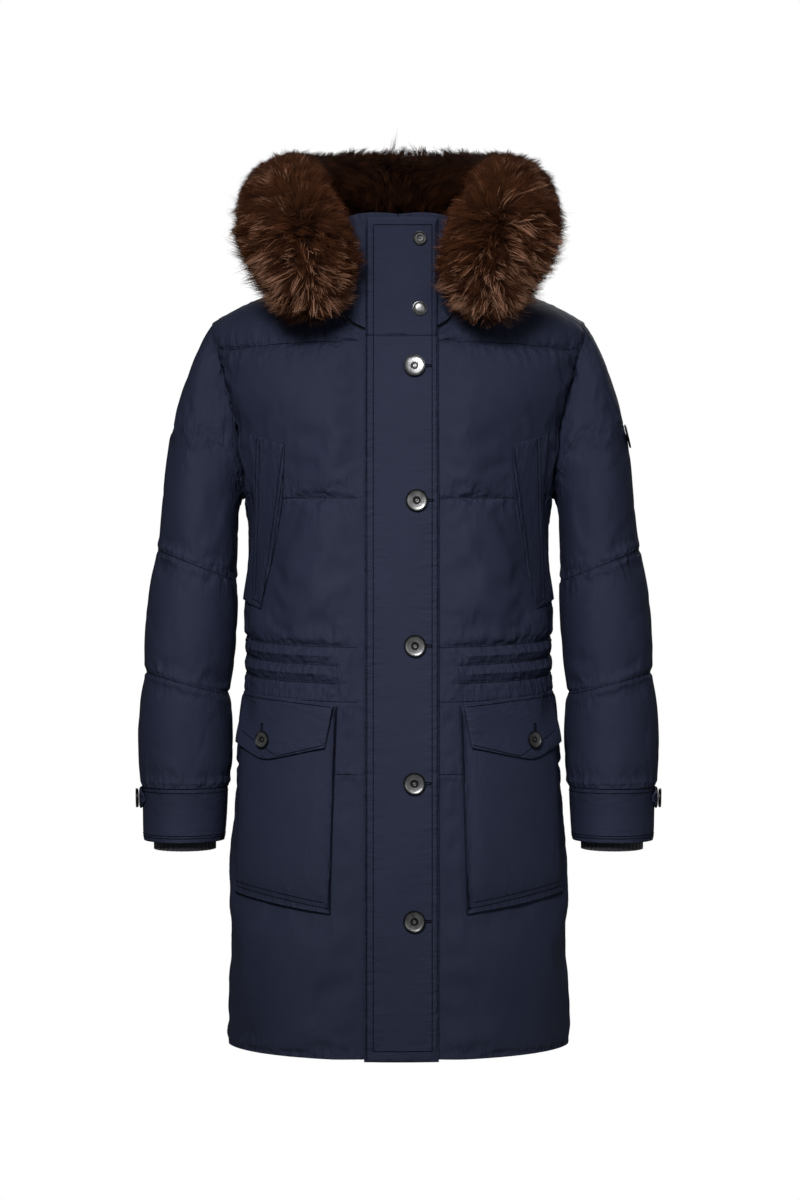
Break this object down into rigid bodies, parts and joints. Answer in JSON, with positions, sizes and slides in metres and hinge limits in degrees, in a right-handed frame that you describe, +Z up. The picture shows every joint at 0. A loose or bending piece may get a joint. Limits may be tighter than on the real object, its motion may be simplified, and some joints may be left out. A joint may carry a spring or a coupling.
{
  "type": "fur trimmed parka",
  "caption": "Long down-filled hooded parka with quilted panels, fur trim round the hood, a buttoned placket and flapped bellows pockets, shaped as worn and hollow.",
  "frame": {"origin": "middle of the neck base between the shoulders, where the wearer's shoulders carry the coat", "axes": "+Z up, the front faces -Y, +X towards the sleeve with the badge"},
  "size_m": [0.6288, 0.3926, 1.0931],
  "materials": {
    "navy_shell": "smooth woven shell with a soft sheen",
    "navy_trim": "smooth woven shell, unfilled",
    "navy_knit": "rib knit",
    "navy_lining": "smooth lining",
    "brown_fur": "long dark brown fur with lighter tips",
    "gunmetal": "dark plated metal"
  },
  "bodies": {
    "root": {"front_left": "navy_shell", "front_right": "navy_shell", "back": "navy_shell", "sleeve_left": "navy_shell", "sleeve_right": "navy_shell", "hood_left": "navy_shell", "hood_right": "navy_shell", "pocket_left": "navy_shell", "pocket_right": "navy_shell", "chest_pocket_left": "navy_shell", "chest_pocket_right": "navy_shell", "cuff_left": "navy_trim", "cuff_right": "navy_trim", "cuff_tab_left": "navy_trim", "cuff_tab_right": "navy_trim", "placket_lower": "navy_trim", "placket_upper": "navy_trim", "pocket_flap_left": "navy_trim", "pocket_flap_right": "navy_trim", "knit_cuff_left": "navy_knit", "knit_cuff_right": "navy_knit", "hood_lining": "navy_lining", "fur_trim": "brown_fur", "button_1": "gunmetal", "button_2": "gunmetal", "button_3": "gunmetal", "button_4": "gunmetal", "button_5": "gunmetal", "snap_1": "gunmetal", "snap_2": "gunmetal", "pocket_button_left": "gunmetal", "pocket_button_right": "gunmetal", "cuff_button_left": "gunmetal", "cuff_button_right": "gunmetal", "sleeve_badge": "gunmetal"}
  },
  "joints": []
}
